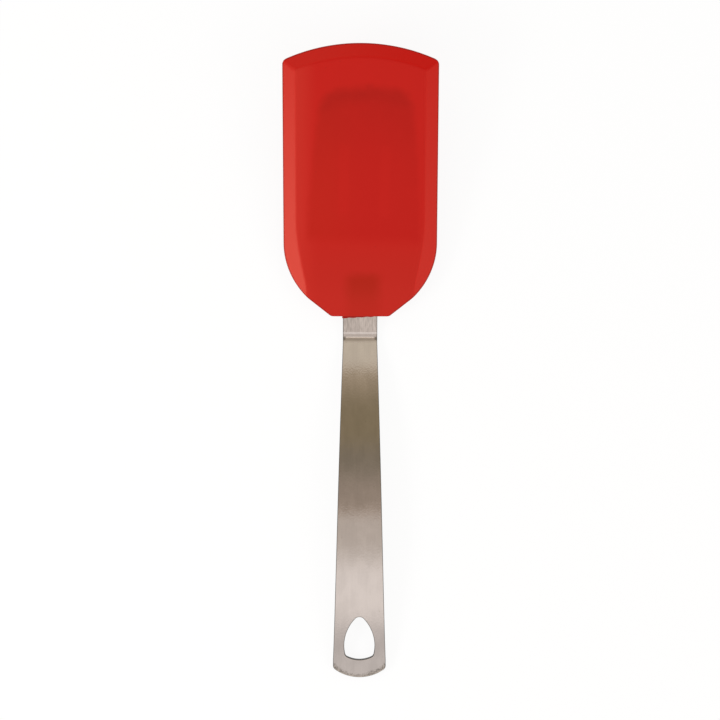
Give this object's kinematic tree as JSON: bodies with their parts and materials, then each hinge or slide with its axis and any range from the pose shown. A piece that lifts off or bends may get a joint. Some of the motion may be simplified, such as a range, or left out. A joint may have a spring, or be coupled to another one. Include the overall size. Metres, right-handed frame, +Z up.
{
  "type": "silicone turner",
  "caption": "Kitchen turner with a flat bevelled silicone blade moulded over a spring-steel core, on a cranked, arched steel strip handle with a hanging hole.",
  "frame": {"origin": "on the table, under the middle of the turner's bounding box as it lies at rest, blade front raised", "axes": "+Y from the handle's end towards the blade's front edge, +X to the right seen from above, +Z up from the table"},
  "size_m": [0.076, 0.3116, 0.0323],
  "materials": {
    "handle_steel": "brushed lengthwise",
    "core_steel": "rolled, unpolished",
    "red_silicone": "satin"
  },
  "bodies": {
    "root": {"handle": "handle_steel", "blade_core": "core_steel", "rivet_left": "core_steel", "rivet_right": "core_steel", "silicone_blade": "red_silicone"}
  },
  "joints": []
}
